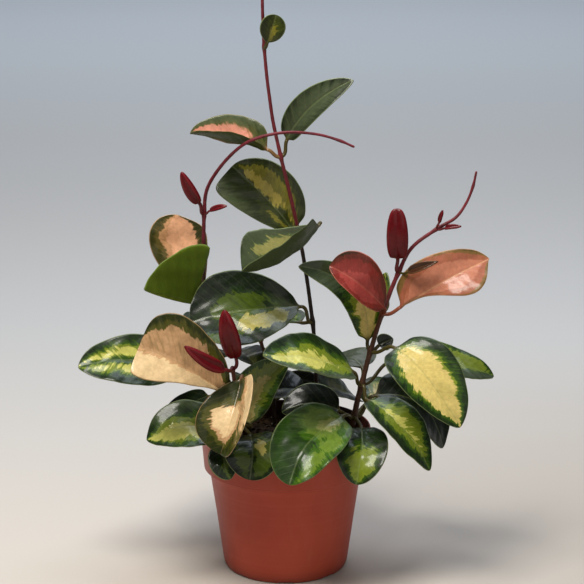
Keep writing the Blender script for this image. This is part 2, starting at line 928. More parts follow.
@dataclass
class Leaf:
    """A thick leaf with its stalk, in millimetres.

    rows run from the stalk to the tip, between the places in ends, and columns across the upper
    face, closer at the edges by the share crowding. A leaf under slim_width has a thinner stalk.
    sink is how deep the stalk starts in the bark, outward how far it turns away from the stem's own
    direction, flare how much thicker it is there and how soon that fades, and blend the share of
    the blade in which it widens into it. groove, ridge and seam have a depth and a breadth. ripples
    has the length and the height of each small wave, on a blade of ripple_width or more. outside
    stands for the depth of a point far from every region, stalk_margin for the way to the margin
    on the stalk, and flip keeps the two halves' vein patterns apart.
    """

    name: str
    plan: LeafPlan
    look: LeafLook
    stem: Stem
    rows: int = 64
    columns: int = 33
    stalk_rows: int = 14
    stalk_radius: float = 1.25
    slim_width: float = 9.0
    slim_share: float = 0.6
    ends: Pair = (0.002, 0.9995)
    crowding: float = 0.35
    edge_power: int = 14
    thick_middle: float = 0.75
    thick_edge: float = 0.45
    sink: float = 1.1
    outward: float = 0.92
    flare: Pair = (0.18, 5.0)
    blend: float = 0.07
    groove: Pair = (0.42, 1.0)
    ridge: Pair = (0.6, 1.1)
    seam: Pair = (0.5, 0.7)
    ripples: tuple[Pair, ...] = ((34.0, 0.5), (21.0, 0.34), (13.0, 0.2), (8.0, 0.1))
    ripple_width: float = 40.0
    vein_slope: float = 0.75
    outside: float = -60.0
    stalk_margin: float = 9.0
    flip: float = 37.0

    def __post_init__(self) -> None:
        """Lays the curves of the midrib and of the stalk, which starts inside the bark."""
        plan, stem = self.plan, self.stem
        self.rng = np.random.default_rng(sum((i + 3) * ord(c) for i, c in enumerate(self.name)))
        base, middle, tip = (np.array(p, float) for p in (plan.base, plan.middle, plan.tip))
        self.midrib = BezierCurve((base, 2 * middle - (base + tip) / 2, tip))
        self.length = float(np.linalg.norm(tip - middle) + np.linalg.norm(middle - base))
        self.face = unit(np.array(plan.face, float))
        joint = stem.curve.points[plan.joint]
        share = stem.share(plan.joint)
        up_stem = stem.curve.tangent(share)
        out = base - joint
        out = unit(out - self.outward * float(out @ up_stem) * up_stem)
        start = joint + out * max(stem.radius_at(share) - self.sink, 0.1)
        reach = 0.4 * float(np.linalg.norm(base - start))
        first = self.midrib.tangent(np.zeros(1))[0]
        self.stalk = BezierCurve((start, start + out * reach, base - first * reach, base))
        self.radius = self.stalk_radius * (self.slim_share if plan.width < self.slim_width else 1.0)

    def half_widths(self, t: np.ndarray) -> np.ndarray:
        """Widths of the left and the right half of the blade.

        Args:
            t: places along the blade, from 0 to 1.

        Returns:
            Two columns, left and right, with a row for each place.
        """
        found = []
        for outline, share in zip((self.plan.outline, self.plan.right_outline), self.plan.halves):
            p, q = (outline or self.plan.outline).value
            peak = p / (p + q)
            most = peak**p * (1 - peak) ** q
            found.append(self.plan.width / 2 * share * t**p * (1 - t) ** q / most)
        return np.stack(found, axis=1)

    def frame_at(self, t: np.ndarray) -> tuple[np.ndarray, np.ndarray]:
        """The blade's directions.

        Args:
            t: places along the blade, from 0 to 1.

        Returns:
            Unit vectors out of the upper face and to the left, a row for each place.
        """
        along = self.midrib.tangent(t)
        up = unit(self.face - along * (along @ self.face)[:, None])
        return up, np.cross(up, along)

    def blade(self, t: np.ndarray, across: np.ndarray) -> tuple[np.ndarray, ...]:
        """The blade's middle surface.

        Args:
            t: places along the blade, from 0 to 1.
            across: places across it, from 1 at the left edge to -1.

        Returns:
            Points and normals, rows by columns by 3, then the width and the height in millimetres
            of each point on the flattened blade.
        """
        up, left = self.frame_at(t)
        hand = (across < 0).astype(int)
        amount = np.abs(across)
        sign = np.where(across < 0, -1.0, 1.0)
        lift = np.radians(np.array(self.plan.lift, float))[hand]
        curl = np.radians(np.array(self.plan.curl, float) + 1e-3)[hand]
        width = self.half_widths(t)[:, hand]
        lean = lift + curl * amount
        out = width * ((np.sin(lean) - np.sin(lift)) / curl)[None, :]
        rise = width * ((np.cos(lift) - np.cos(lean)) / curl)[None, :]
        height, count = self.plan.wave
        rise = rise + height * np.sin(math.tau * count * t)[:, None] * (amount * amount * sign)[None, :]
        wide = width * across[None, :]
        long = np.broadcast_to(t[:, None] * self.length, wide.shape)
        rise = rise + self.ripple(wide, long) * smooth(0.0, 0.12, t)[:, None]
        left, up = left[:, None, :], up[:, None, :]
        points = self.midrib.at(t)[:, None, :] + left * (sign * out)[..., None] + up * rise[..., None]
        normals = up * np.cos(lean)[None, :, None] - left * (sign * np.sin(lean))[None, :, None]
        return points, normals, wide, long

    def ripple(self, wide: np.ndarray, long: np.ndarray) -> np.ndarray:
        """Small uneven waves of a grown blade.

        Args:
            wide: places across the flattened blade.
            long: places along it.

        Returns:
            The waves' height at each place, less on a small leaf.
        """
        total = np.zeros(wide.shape)
        for length, height in self.ripples:
            angle, phase = self.rng.uniform(0.0, math.pi), self.rng.uniform(0.0, math.tau)
            place = wide * np.cos(angle) + long * np.sin(angle)
            total += height * np.sin(place * math.tau / length + phase)
        return total * min(1.0, self.plan.width / self.ripple_width)

    def thickness(self, across: np.ndarray, wide: np.ndarray, t: np.ndarray) -> tuple[np.ndarray, np.ndarray]:
        """Heights of the blade's two faces over its middle surface.

        Args:
            across: places across the blade, from 1 to -1.
            wide: the same places in millimetres, for each row.
            t: places along it, from 0 to 1.

        Returns:
            The upper and the under face's heights, with a round edge, and with a groove and a ridge
            at the midrib, or a dome for a closed young pair.
        """
        amount = np.abs(across)
        plain = self.thick_middle + (self.thick_edge - self.thick_middle) * amount
        edge = np.sqrt(np.clip(1.0 - amount**self.edge_power, 0.0, 1.0))
        rows = (plain * edge)[None, :] * np.ones_like(wide)
        fade = (smooth(0.0, 0.1, t) * (1.0 - smooth(0.75, 1.0, t)))[:, None]
        groove, ridge, seam = (
            deep * np.exp(-((wide / broad) ** 2)) * fade
            for deep, broad in (self.groove, self.ridge, self.seam)
        )
        if self.look.plump:
            dome = self.look.plump * np.sqrt(np.clip(1.0 - amount**2.2, 0.0, 1.0))[None, :]
            dome = dome * (np.clip(np.sin(math.pi * t), 0.0, 1.0) ** 0.45)[:, None]
            swollen = rows * 0.4 + dome - seam
            return swollen, swollen
        return rows - groove, rows + ridge

    def zones(self, t: np.ndarray, across: np.ndarray) -> np.ndarray:
        """How deep each point is inside the coloured regions, in millimetres.

        Args:
            t: places along the blade, from 0 to 1.
            across: places across it, from 1 to -1.

        Returns:
            Rows by columns by the lime, pale and grey depth.
        """
        found = np.full((len(t), len(across), len(Zone)), self.outside)
        for mark in self.look.marks:
            size = min(mark.length * self.length, mark.width * self.plan.width / 2)
            far_along = (t[:, None] - mark.along) / mark.length
            away = np.hypot(far_along, (across[None, :] - mark.across) / mark.width)
            layer = found[..., mark.zone.value]
            np.maximum(layer, (1.0 - away) * size, out=layer)
        return found

    def stalk_rings(self, t: np.ndarray, turn: np.ndarray) -> np.ndarray:
        """Round rings along the stalk, a little thicker at the stem.

        Args:
            t: places along the stalk, from 0 to 1.
            turn: the angle of each point of a ring.

        Returns:
            Points, a ring for each place.
        """
        middle, along = self.stalk.at(t), self.stalk.tangent(t)
        up = self.frame_at(np.zeros(1))[0][0]
        rings = np.empty((len(t), len(turn), 3))
        more, fade = self.flare
        for i in range(len(t) - 1, -1, -1):
            up = unit(up - along[i] * float(up @ along[i]))
            left = np.cross(up, along[i])
            size = self.radius * (1.0 + more * math.exp(-t[i] * fade))
            rings[i] = middle[i] + size * (np.cos(turn)[:, None] * left + np.sin(turn)[:, None] * up)
        return rings

    def blade_rings(self, t: np.ndarray, across: np.ndarray, turn: np.ndarray) -> tuple[np.ndarray, ...]:
        """Rings round the blade, which start as round as the stalk.

        Args:
            t: places along the blade, from 0 to 1.
            across: places across the upper face, from 1 to -1.
            turn: the angle of each point of a round ring.

        Returns:
            Points, a ring for each place, then the width and the height in millimetres of each
            point of the upper face on the flattened blade.
        """
        points, normals, wide, long = self.blade(t, across)
        above, below = self.thickness(across, wide, t)
        upper = points + normals * above[..., None]
        lower = points - normals * below[..., None]
        flat = np.concatenate([upper, lower[:, -2:0:-1]], axis=1)
        up, left = self.frame_at(t)
        round_ring = (
            self.midrib.at(t)[:, None, :]
            + left[:, None, :] * (self.radius * np.cos(turn))[None, :, None]
            + up[:, None, :] * (self.radius * np.sin(turn))[None, :, None]
        )
        blend = smooth(0.0, self.blend, t)[:, None, None]
        return round_ring * (1 - blend) + flat * blend, wide, long

    def skin(self) -> Skin:
        """The whole closed skin: stalk rings and then blade rings.

        Returns:
            The leaf's skin, with slot 0 above and slot 1 below.
        """
        columns, around = self.columns, 2 * (self.columns - 1)
        even = np.linspace(1.0, -1.0, columns)
        across = np.sin(even * math.pi / 2) * self.crowding + even * (1.0 - self.crowding)
        t = np.clip((1.0 - np.cos(math.pi * np.linspace(0.0, 1.0, self.rows))) / 2, *self.ends)
        turn = math.pi * np.arange(around) / (columns - 1)
        stalk_t = np.linspace(0.0, 1.0, self.stalk_rows, endpoint=False)
        blade, wide, long = self.blade_rings(t, across, turn)
        rings = np.concatenate([self.stalk_rings(stalk_t, turn), blade])
        mirror = np.concatenate([np.arange(columns), np.arange(columns - 2, 0, -1)])
        plain = np.full((self.stalk_rows, around, len(Zone)), self.outside)
        zones = np.concatenate([plain, self.zones(t, across)[:, mirror]])
        margin = self.half_widths(t)[:, (across < 0).astype(int)] * (1 - np.abs(across))[None, :]
        margin = np.concatenate([np.full((self.stalk_rows, around), self.stalk_margin), margin[:, mirror]])
        wide = np.concatenate([np.tile(np.cos(turn) * self.radius, (self.stalk_rows, 1)), wide[:, mirror]])
        stalk_length = float(np.linalg.norm(self.stalk.controls[-1] - self.stalk.controls[0]))
        before = np.repeat((stalk_t - 1.0)[:, None] * stalk_length, around, axis=1)
        long = np.concatenate([before, long[:, mirror]])
        stalk = np.concatenate([np.ones(self.stalk_rows), 1 - smooth(0.01, self.blend, t)])
        stalk = np.repeat(stalk[:, None], around, axis=1)
        root = long - np.abs(wide) * self.vein_slope
        out = np.abs(wide) + np.where(wide > 0, self.flip, 0.0)
        seed = np.full(wide.shape, self.rng.uniform(0.0, 50.0))
        maps = {
            "leaf_uv": np.stack([wide, long], -1).reshape(-1, 2) / UV_UNIT,
            "vein_uv": np.stack([root, out], -1).reshape(-1, 2) / UV_UNIT,
        }
        marks = {"zones": zones.reshape(-1, 3), "skin": np.stack([margin, stalk, seed], -1).reshape(-1, 3)}
        first, last = caps(len(rings), around)
        faces = [first, *tube(len(rings), around), last]
        ring_slots = [Side.UPPER.value] * (columns - 1) + [Side.UNDER.value] * (columns - 1)
        slots = [Side.UNDER.value, *ring_slots * (len(rings) - 1), Side.UPPER.value]
        return Skin(f"leaf_{self.name}_blade", rings.reshape(-1, 3), faces, maps, marks, slots)

    def build(self, materials: list[bpy.types.Material]) -> bpy.types.Object:
        """Makes the leaf's piece.

        Args:
            materials: the upper and the under material.

        Returns:
            The leaf's object, which rides on the body and stands for the plain leaf.
        """
        piece = self.skin().build(materials)
        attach(piece, BODY)
        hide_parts(f"leaf_{self.name}")
        return piece


# Each stem: radius at the soil and the tip, joints, and points from the soil up.
STEMS: dict[str, StemPlan] = {
    "tall": StemPlan(
        (1.8, 1.0),
        (2, 3, 4, 5, 7, 8),
        (
            (23, 8, 70), (23, 8, 96), (22, 8, 127), (19, 6, 176), (10, 3, 237),
            (-3, 0, 295), (-9, -1, 324), (-14, -3, 370), (-15, -3, 408), (-13, -4, 426),
        ),
    ),
    "right": StemPlan(
        (2.7, 0.75),
        (2, 3, 4, 5, 6, 8, 11),
        (
            (45, -10, 70), (45, -10, 95), (48, -10, 112), (53, -11, 136), (59, -11, 160),
            (67, -10, 187), (78, -8, 216), (87, -7, 233), (104, -6, 246), (117, -5, 254),
            (124, -4, 264), (128, -4, 275), (130, -4, 285),
        ),
    ),
    "arch": StemPlan(
        (2.1, 0.8),
        (2, 3, 4, 5, 11),
        (
            (-26, 14, 70), (-26, 14, 94), (-41, 15, 130), (-50, 14, 150), (-56, 13, 181),
            (-56, 10, 253), (-54, 8, 270), (-43, 0, 289.5), (-24, -14, 308.3), (0, -17.5, 315),
            (22, -17, 313.5), (37, -16, 309), (46, -16, 305),
        ),
    ),
    "front": StemPlan(
        (2.2, 1.3),
        (2, 3, 4),
        (
            (-26, -24, 70), (-26, -24, 94), (-29, -28, 110), (-33, -32, 130), (-36, -35, 155),
        ),
    ),
    "back": StemPlan(
        (2.0, 1.0),
        (2, 3, 4, 5),
        (
            (-8, 30, 70), (-8, 30, 94), (-9, 33, 110), (-12, 37, 130), (-18, 40, 152),
            (-28, 42, 171),
        ),
    ),
}

# Each leaf: stem, joint, base, middle and tip, then face, width, outline, lift and curl.
LEAVES: dict[str, LeafPlan] = {
    "tall_top": LeafPlan(
        "tall", 7, (-12, -7, 374), (-9, -10, 383), (-6, -10, 393),
        (0.1, -0.95, 0.2), 18, Outline.SPOON, (12, 10), (15, 10), slot="leaf_dark",
    ),
    "tall_upper_right": LeafPlan(
        "tall", 5, (1, 1, 306), (18, -3, 330), (46, -5, 348),
        (-0.35, -0.75, 0.55), 25, Outline.OVAL, (14, 10), (12, 8), slot="leaf_dark",
    ),
    "tall_upper_left": LeafPlan(
        "tall", 5, (-12, -1, 300), (-36, 4, 305), (-65, 6, 310),
        (0, -0.1, 1), 38, Outline.OVAL, (32, 58), (5, 8), slot="leaf_pink",
    ),
    "tall_fan": LeafPlan(
        "tall", 4, (6, 9, 240), (-14, 13, 264), (-37, 20, 284),
        (0.05, -0.88, 0.45), 47, Outline.FAN, (4, 4), (10, 12),
        right_outline=Outline.ROUND, halves=(0.95, 1.02), slot="leaf_dark",
    ),
    "tall_roll": LeafPlan(
        "tall", 4, (23, -8, 249), (0, -22, 229), (-29, -34, 224),
        (0.1, 0.1, 1), 46, Outline.SAIL, (46, 55), (5, 10),
        right_outline=Outline.BLUNT, halves=(1.1, 1.2),
    ),
    "tall_broad": LeafPlan(
        "tall", 3, (11, 0, 189), (-26, -10, 189), (-65, -16, 182),
        (-0.05, -0.72, 0.7), 62, Outline.WEDGE, (6, 6), (14, 14), slot="leaf_dark",
    ),
    "tall_middle_back": LeafPlan(
        "tall", 3, (11, 12, 174), (-8, 24, 170), (-30, 24, 158),
        (-0.1, 0, 1), 34, Outline.OVAL, (10, 10), (10, 10),
    ),
    "tall_low_left": LeafPlan(
        "tall", 2, (14, 5, 125), (-8, 3, 128), (-31, 5, 120),
        (0, -0.35, 0.95), 36, Outline.OVAL, (10, 10), (10, 10), slot="leaf_dark",
    ),
    "tall_low_back": LeafPlan(
        "tall", 2, (25, 16, 124), (38, 34, 118), (50, 54, 106),
        (0.1, -0.5, 0.85), 42, Outline.OVAL, (8, 8), (8, 8),
    ),
    "right_bud": LeafPlan(
        "right", 6, (77, -12, 226), (76.5, -14, 243), (76, -14, 262),
        (-0.1, -0.95, 0.1), 15.5, Outline.BOX, (15, 15), (20, 20), slot="leaf_red",
    ),
    "right_young": LeafPlan(
        "right", 6, (84, -16, 218), (92, -20.5, 222.5), (104, -22, 227),
        (0, -0.8, 0.5), 7.5, Outline.LONG, (20, 20), (20, 20), slot="leaf_dark",
    ),
    "right_pink": LeafPlan(
        "right", 5, (79, -13, 192), (108, -17, 211), (140, -8, 225),
        (-0.15, -0.85, 0.5), 44, Outline.WIDE, (8, 6), (10, 10),
        right_outline=Outline.LATE, halves=(0.96, 0.86), wave=(1.2, 1), slot="leaf_pink",
    ),
    "right_red": LeafPlan(
        "right", 5, (68, -16, 192), (50, -26, 212), (30, -24, 224),
        (0.1, -0.85, 0.5), 30, Outline.OVAL, (10, 10), (14, 12),
        right_outline=Outline.SPOON, halves=(0.75, 1.3), slot="leaf_red",
    ),
    "right_upright": LeafPlan(
        "right", 5, (71, 2, 192), (70, 7, 201), (70, 10, 211),
        (-0.7, -0.65, 0.2), 14, Outline.OVAL, (15, 15), (10, 10), slot="leaf_cream",
    ),
    "right_slant": LeafPlan(
        "right", 4, (57, -5, 165), (47, -9, 203), (9, -13, 221),
        (0.3, -0.8, 0.5), 30, Outline.OVAL, (8, 8), (10, 10), halves=(1.05, 0.86),
    ),
    "right_front": LeafPlan(
        "right", 3, (47, -21, 148), (18, -42, 164), (-15, -56, 170),
        (-0.05, -0.6, 0.8), 43, Outline.OVAL, (4, 0), (30, 10), slot="leaf_cream",
    ),
    "right_broad": LeafPlan(
        "right", 4, (75, -23, 166), (96, -42, 151), (119, -54, 119),
        (0.25, -0.75, 0.65), 50, Outline.OVAL, (8, 8), (14, 14), slot="leaf_cream",
    ),
    "right_far": LeafPlan(
        "right", 3, (76, 2, 149), (112, 10, 145), (148, 18, 133),
        (0.1, -0.4, 0.9), 38, Outline.OVAL, (6, 6), (10, 10),
    ),
    "right_inner": LeafPlan(
        "right", 3, (54, 8, 142), (46, 24, 144), (30, 40, 137),
        (-0.05, -0.15, 1), 34, Outline.OVAL, (8, 8), (8, 8),
    ),
    "right_small": LeafPlan(
        "right", 4, (65, -7, 163), (69, -6, 165), (75, -5, 167),
        (-0.1, -0.9, 0.4), 13, Outline.OVAL, (10, 10), (10, 10), slot="leaf_dark",
    ),
    "right_low_front": LeafPlan(
        "right", 2, (40, -30, 119), (16, -60, 110), (3, -80, 87),
        (-0.15, -0.75, 0.6), 49, Outline.ROUND, (6, 6), (14, 14),
    ),
    "right_low_round": LeafPlan(
        "right", 2, (52.5, -26, 109), (52, -49, 101), (48, -63, 81),
        (0, -0.7, 0.7), 37, Outline.ROUND, (6, 6), (12, 12),
    ),
    "right_low_side": LeafPlan(
        "right", 3, (57, -20, 127), (79, -38, 115), (99, -46, 85),
        (0.55, -0.6, 0.6), 36, Outline.OVAL, (6, 6), (12, 12),
    ),
    "right_low_dark": LeafPlan(
        "right", 2, (62, -6, 126), (94, -6, 120), (110, -5, 87),
        (0.4, -0.5, 0.8), 46, Outline.OVAL, (6, 6), (12, 12), slot="leaf_dark",
    ),
    "right_tip_left": LeafPlan(
        "right", 8, (105, -9, 251), (106, -10, 255), (107, -11, 260),
        (-0.8, -0.5, 0.3), 4, Outline.BUD, (20, 20), (20, 20), slot="leaf_red",
    ),
    "right_tip_right": LeafPlan(
        "right", 8, (109, -9, 247), (113, -11, 248), (120, -12, 249),
        (0, -0.5, 0.8), 5, Outline.BUD, (20, 20), (20, 20), slot="leaf_red",
    ),
    "right_inner_low": LeafPlan(
        "right", 2, (38, -13, 117), (18, -18, 124), (-2, -20, 118),
        (0, -0.6, 0.8), 32, Outline.OVAL, (8, 8), (10, 10), slot="leaf_dark",
    ),
    "right_low_back": LeafPlan(
        "right", 2, (56, 4, 116), (80, 26, 120), (100, 50, 102),
        (0.2, 0.2, 1), 44, Outline.OVAL, (8, 8), (10, 10),
    ),
    "arch_young": LeafPlan(
        "arch", 5, (-59, 6, 261), (-65, 4, 271), (-71, 2, 284),
        (-0.3, -0.85, 0.2), 10, Outline.BUD, (25, 25), (30, 30), slot="leaf_red",
    ),
    "arch_bud": LeafPlan(
        "arch", 5, (-52, 5, 256), (-46, 1, 259), (-40, -2, 261),
        (0, -0.8, 0.5), 5, Outline.BUD, (30, 30), (40, 40), slot="leaf_red",
    ),
    "arch_pink": LeafPlan(
        "arch", 4, (-59, 20, 191), (-73, 26, 224), (-76, 28, 248),
        (-0.1, -0.95, 0.3), 42, Outline.SPOON, (8, 8), (12, 12), slot="leaf_pink",
    ),
    "arch_green": LeafPlan(
        "arch", 4, (-64, 2, 191), (-79, -12, 200), (-96, -26, 208),
        (-0.73, 0.53, 0.3), 46, Outline.SAIL, (6, 8), (6, 8),
        right_outline=Outline.OVAL, halves=(1.78, 0.12),
    ),
    "arch_side": LeafPlan(
        "arch", 3, (-71, 5, 144), (-108, -2, 151), (-144, -10, 148),
        (-0.1, -0.7, 0.7), 41, Outline.OVAL, (4, 4), (12, 12), halves=(1.1, 0.95), slot="leaf_cream",
    ),
    "arch_low_back": LeafPlan(
        "arch", 2, (-49, 24, 134), (-76, 44, 139), (-102, 56, 124),
        (-0.2, 0.1, 1), 46, Outline.OVAL, (10, 10), (10, 10),
    ),
    "arch_low_side": LeafPlan(
        "arch", 2, (-53, 8, 121), (-75, 4, 110), (-90, -3, 90),
        (-0.5, -0.2, 0.85), 34, Outline.OVAL, (8, 8), (10, 10), slot="leaf_dark",
    ),
    "arch_back": LeafPlan(
        "arch", 3, (-51, 24, 155), (-54, 50, 164), (-60, 84, 158),
        (0, -0.1, 1), 42, Outline.OVAL, (12, 12), (8, 8),
    ),
    "front_peach": LeafPlan(
        "front", 3, (-40, -42, 138), (-66, -51, 160), (-98, -52, 176),
        (-0.05, -0.62, 0.78), 54, Outline.CORNER, (0, 36), (-6, 10),
        right_outline=Outline.BLUNT, halves=(0.85, 1.12), slot="leaf_cream",
    ),
    "front_crimson_left": LeafPlan(
        "front", 4, (-41, -51, 159), (-52, -58, 166), (-67, -63, 179),
        (-0.2, -0.8, 0.6), 11, Outline.BUD, (25, 25), (30, 30), slot="leaf_red",
    ),
    "front_crimson_up": LeafPlan(
        "front", 4, (-33.5, -38, 163), (-37.5, -43, 180), (-41, -45, 199),
        (-0.1, -0.95, 0.1), 14.5, Outline.BUD, (20, 20), (25, 25), slot="leaf_red",
    ),
    "front_left": LeafPlan(
        "front", 2, (-40, -30, 107), (-69, -38, 114), (-95, -40, 105),
        (-0.1, -0.5, 0.85), 44, Outline.OVAL, (4, 4), (10, 14),
    ),
    "front_middle": LeafPlan(
        "front", 3, (-30, -41, 150), (-35, -61, 129), (-43, -70, 105),
        (-0.2, -0.75, 0.65), 48, Outline.SQUARE, (44, 8), (10, 14),
        right_outline=Outline.SPOON, halves=(1, 1.02), slot="leaf_cream",
    ),
    "front_inner": LeafPlan(
        "front", 2, (-24, -22, 110), (-20, -15, 132), (3, -10, 153),
        (0.1, -0.85, 0.5), 34, Outline.OVAL, (8, 8), (10, 10), halves=(1, 0.8), slot="leaf_cream",
    ),
    "front_low": LeafPlan(
        "front", 2, (-24, -38, 108), (-22, -60, 103), (-24, -68, 86),
        (0, -0.7, 0.7), 41, Outline.ROUND, (6, 6), (12, 12),
    ),
    "front_low_left": LeafPlan(
        "front", 2, (-37.5, -47, 105), (-41.5, -58.5, 98), (-37, -66, 86),
        (-0.2, -0.7, 0.7), 22, Outline.ROUND, (6, 6), (12, 12), slot="leaf_dark",
    ),
    "back_low": LeafPlan(
        "back", 2, (-4, 38, 111), (13, 43, 114), (35, 42, 107),
        (0, -0.85, 0.5), 30, Outline.OVAL, (8, 8), (10, 10), slot="leaf_dark",
    ),
    "back_left": LeafPlan(
        "back", 3, (-20, 46, 131), (-38, 70, 134), (-58, 92, 118),
        (0, 0.2, 1), 42, Outline.OVAL, (10, 10), (10, 10),
    ),
    "back_right": LeafPlan(
        "back", 3, (-4, 46, 131), (12, 70, 134), (30, 94, 116),
        (0.1, 0.2, 1), 44, Outline.OVAL, (10, 10), (10, 10),
    ),
    "back_back": LeafPlan(
        "back", 2, (-12, 42, 112), (-18, 70, 112), (-22, 90, 88),
        (0, 0.6, 0.8), 46, Outline.OVAL, (8, 8), (10, 10),
    ),
    "back_top": LeafPlan(
        "back", 4, (-16, 48, 158), (-10, 74, 164), (-4, 102, 150),
        (0, 0.2, 1), 42, Outline.OVAL, (12, 12), (8, 8), slot="leaf_cream",
    ),
    "back_tip": LeafPlan(
        "back", 5, (-29, 42, 177), (-31, 43, 184), (-32, 44, 193),
        (-0.4, -0.9, 0.1), 9, Outline.BUD, (30, 30), (40, 40), slot="leaf_red",
    ),
}

LIME, PALE, GREY = Zone.LIME, Zone.PALE, Zone.GREY

